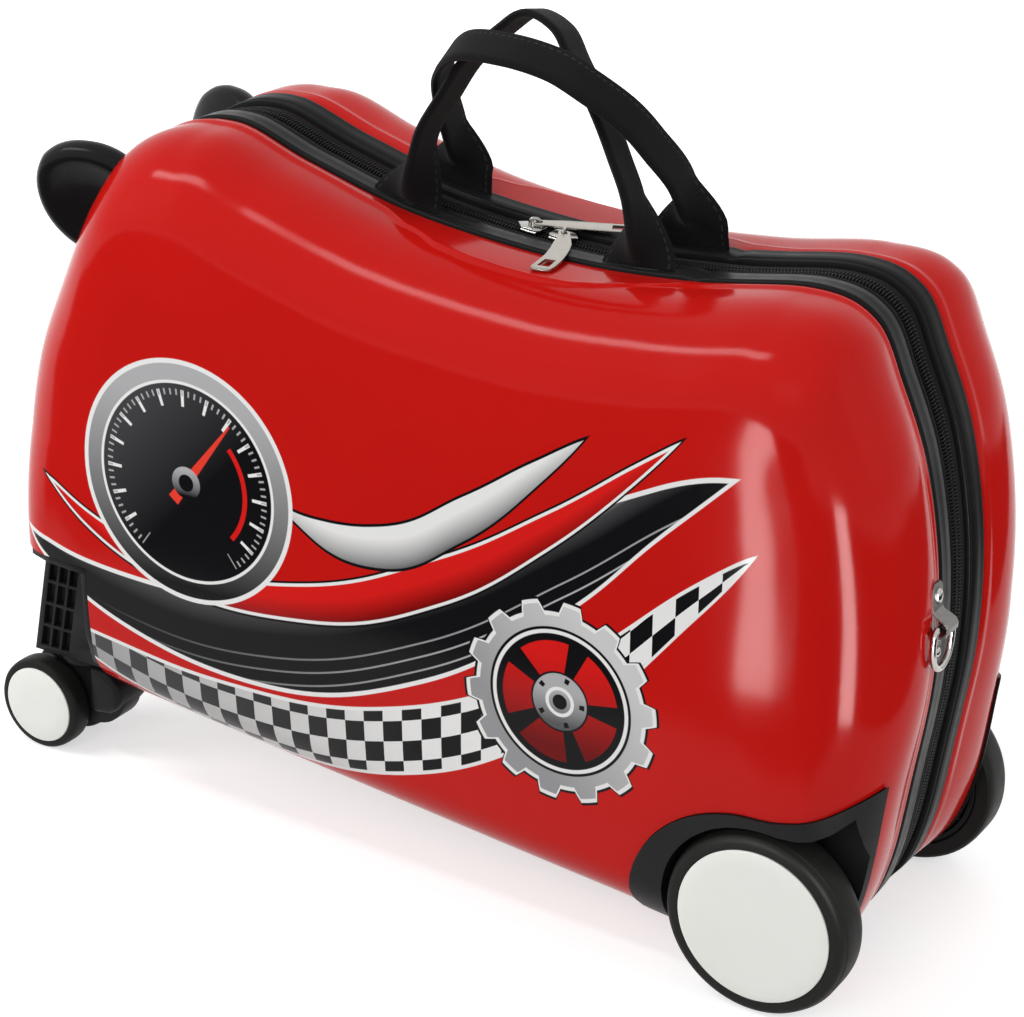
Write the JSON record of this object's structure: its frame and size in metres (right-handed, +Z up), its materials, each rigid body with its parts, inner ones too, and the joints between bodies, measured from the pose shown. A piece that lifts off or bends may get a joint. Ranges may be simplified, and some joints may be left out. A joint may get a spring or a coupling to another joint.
{
  "type": "kids ride-on suitcase",
  "caption": "Child's ride-on suitcase: red moulded shells, zip, webbing loops, horns, two big fixed wheels and two twin-wheel swivel casters.",
  "frame": {"origin": "on the ground, under the middle of the case's bounding box", "axes": "+X along the case from the casters and horns to the big fixed wheels, +Y through its thickness from the printed front half to the back half, +Z up"},
  "size_m": [0.4704, 0.1692, 0.3804],
  "materials": {
    "red_gloss": "glossy",
    "black_trim": "satin",
    "black_gloss": "glossy",
    "black_plastic": "satin",
    "webbing": "woven",
    "zip_cloth": "woven",
    "zip_coil": "satin",
    "lining_cloth": "woven",
    "tyre_rubber": "matt",
    "white_cap": "satin",
    "steel": "brushed",
    "chrome": "polished"
  },
  "bodies": {
    "front_half": {"front_shell": "red_gloss", "front_lining": "lining_cloth", "front_trim": "black_trim", "front_zip_tape": "zip_cloth", "front_zip_teeth": "zip_coil", "front_handle": "webbing", "front_horn": "black_gloss", "front_horn_screw": "steel", "front_wheel_housing": "black_plastic", "front_wheel_axle": "steel", "front_caster_bracket": "black_plastic", "front_bracket_rivet": "steel", "hinge_strip": "zip_cloth", "tow_plate": "steel", "tow_rivet_upper": "steel", "tow_rivet_lower": "steel"},
    "back_half": {"back_shell": "red_gloss", "back_lining": "lining_cloth", "back_trim": "black_trim", "back_zip_tape": "zip_cloth", "back_zip_teeth": "zip_coil", "back_handle": "webbing", "back_horn": "black_gloss", "back_horn_screw": "steel", "back_wheel_housing": "black_plastic", "back_wheel_axle": "steel", "back_caster_bracket": "black_plastic", "back_bracket_rivet": "steel"},
    "zip_slider_left": {"zip_slider_left": "chrome"},
    "zip_puller_left": {"zip_puller_left": "chrome"},
    "zip_slider_right": {"zip_slider_right": "chrome"},
    "zip_puller_right": {"zip_puller_right": "chrome"},
    "tow_ring": {"tow_ring": "chrome"},
    "front_wheel": {"front_wheel_tyre": "tyre_rubber", "front_wheel_hub": "black_plastic", "front_wheel_cap": "white_cap"},
    "front_caster": {"front_caster_stem": "steel", "front_caster_fork": "black_plastic", "front_caster_axle": "steel"},
    "front_caster_outer_wheel": {"front_caster_outer_tyre": "tyre_rubber", "front_caster_outer_hub": "black_plastic", "front_caster_outer_cap": "white_cap"},
    "front_caster_inner_wheel": {"front_caster_inner_tyre": "tyre_rubber", "front_caster_inner_hub": "black_plastic", "front_caster_inner_cap": "white_cap"},
    "back_wheel": {"back_wheel_tyre": "tyre_rubber", "back_wheel_hub": "black_plastic", "back_wheel_cap": "white_cap"},
    "back_caster": {"back_caster_stem": "steel", "back_caster_fork": "black_plastic", "back_caster_axle": "steel"},
    "back_caster_outer_wheel": {"back_caster_outer_tyre": "tyre_rubber", "back_caster_outer_hub": "black_plastic", "back_caster_outer_cap": "white_cap"},
    "back_caster_inner_wheel": {"back_caster_inner_tyre": "tyre_rubber", "back_caster_inner_hub": "black_plastic", "back_caster_inner_cap": "white_cap"}
  },
  "joints": [
    {"name": "case_opening", "type": "hinge", "parent": "front_half", "child": "back_half", "pos_m": [-0.01219, 0, 0.0318], "axis": [-0.9952, 0, 0.0976], "range_deg": [0, 40], "deforming": ["back_handle", "hinge_strip"]},
    {"name": "zip_slider_left_slide", "type": "slide", "parent": "front_half", "child": "zip_slider_left", "axis": [-0.9926, 0, 0.1215], "range_m": [0, 0.02]},
    {"name": "zip_puller_left_hinge", "type": "hinge", "parent": "zip_slider_left", "child": "zip_puller_left", "pos_m": [0.02419, 0.00064, 0.28789], "axis": [0.4364, -0.8988, -0.0411], "range_deg": [0, 75]},
    {"name": "zip_slider_right_slide", "type": "slide", "parent": "front_half", "child": "zip_slider_right", "axis": [0.9996, 0, -0.028], "range_m": [0, 0.012]},
    {"name": "zip_puller_right_hinge", "type": "hinge", "parent": "zip_slider_right", "child": "zip_puller_right", "pos_m": [0.03971, -0.00139, 0.28692], "axis": [-0.9544, -0.2924, 0.0608], "range_deg": [0, 75]},
    {"name": "tow_ring_hinge", "type": "hinge", "parent": "front_half", "child": "tow_ring", "pos_m": [0.23179, -0.031, 0.168], "axis": [0, -1, 0], "range_deg": [0, 85]},
    {"name": "front_wheel_spin", "type": "hinge", "parent": "front_half", "child": "front_wheel", "pos_m": [0.18101, -0.07445, 0.0409], "axis": [0, 1, 0], "continuous": true},
    {"name": "front_caster_swivel", "type": "hinge", "parent": "front_half", "child": "front_caster", "pos_m": [-0.19419, -0.0455, 0.05], "axis": [0, 0, 1], "continuous": true},
    {"name": "front_caster_outer_spin", "type": "hinge", "parent": "front_caster", "child": "front_caster_outer_wheel", "pos_m": [-0.21219, -0.058, 0.023], "axis": [0, 1, 0], "continuous": true},
    {"name": "front_caster_inner_spin", "type": "hinge", "parent": "front_caster", "child": "front_caster_inner_wheel", "pos_m": [-0.21219, -0.033, 0.023], "axis": [0, 1, 0], "continuous": true},
    {"name": "back_wheel_spin", "type": "hinge", "parent": "back_half", "child": "back_wheel", "pos_m": [0.18101, 0.07445, 0.0409], "axis": [0, 1, 0], "continuous": true},
    {"name": "back_caster_swivel", "type": "hinge", "parent": "back_half", "child": "back_caster", "pos_m": [-0.19419, 0.0455, 0.05], "axis": [0, 0, 1], "continuous": true},
    {"name": "back_caster_outer_spin", "type": "hinge", "parent": "back_caster", "child": "back_caster_outer_wheel", "pos_m": [-0.21219, 0.058, 0.023], "axis": [0, 1, 0], "continuous": true},
    {"name": "back_caster_inner_spin", "type": "hinge", "parent": "back_caster", "child": "back_caster_inner_wheel", "pos_m": [-0.21219, 0.033, 0.023], "axis": [0, 1, 0], "continuous": true}
  ]
}
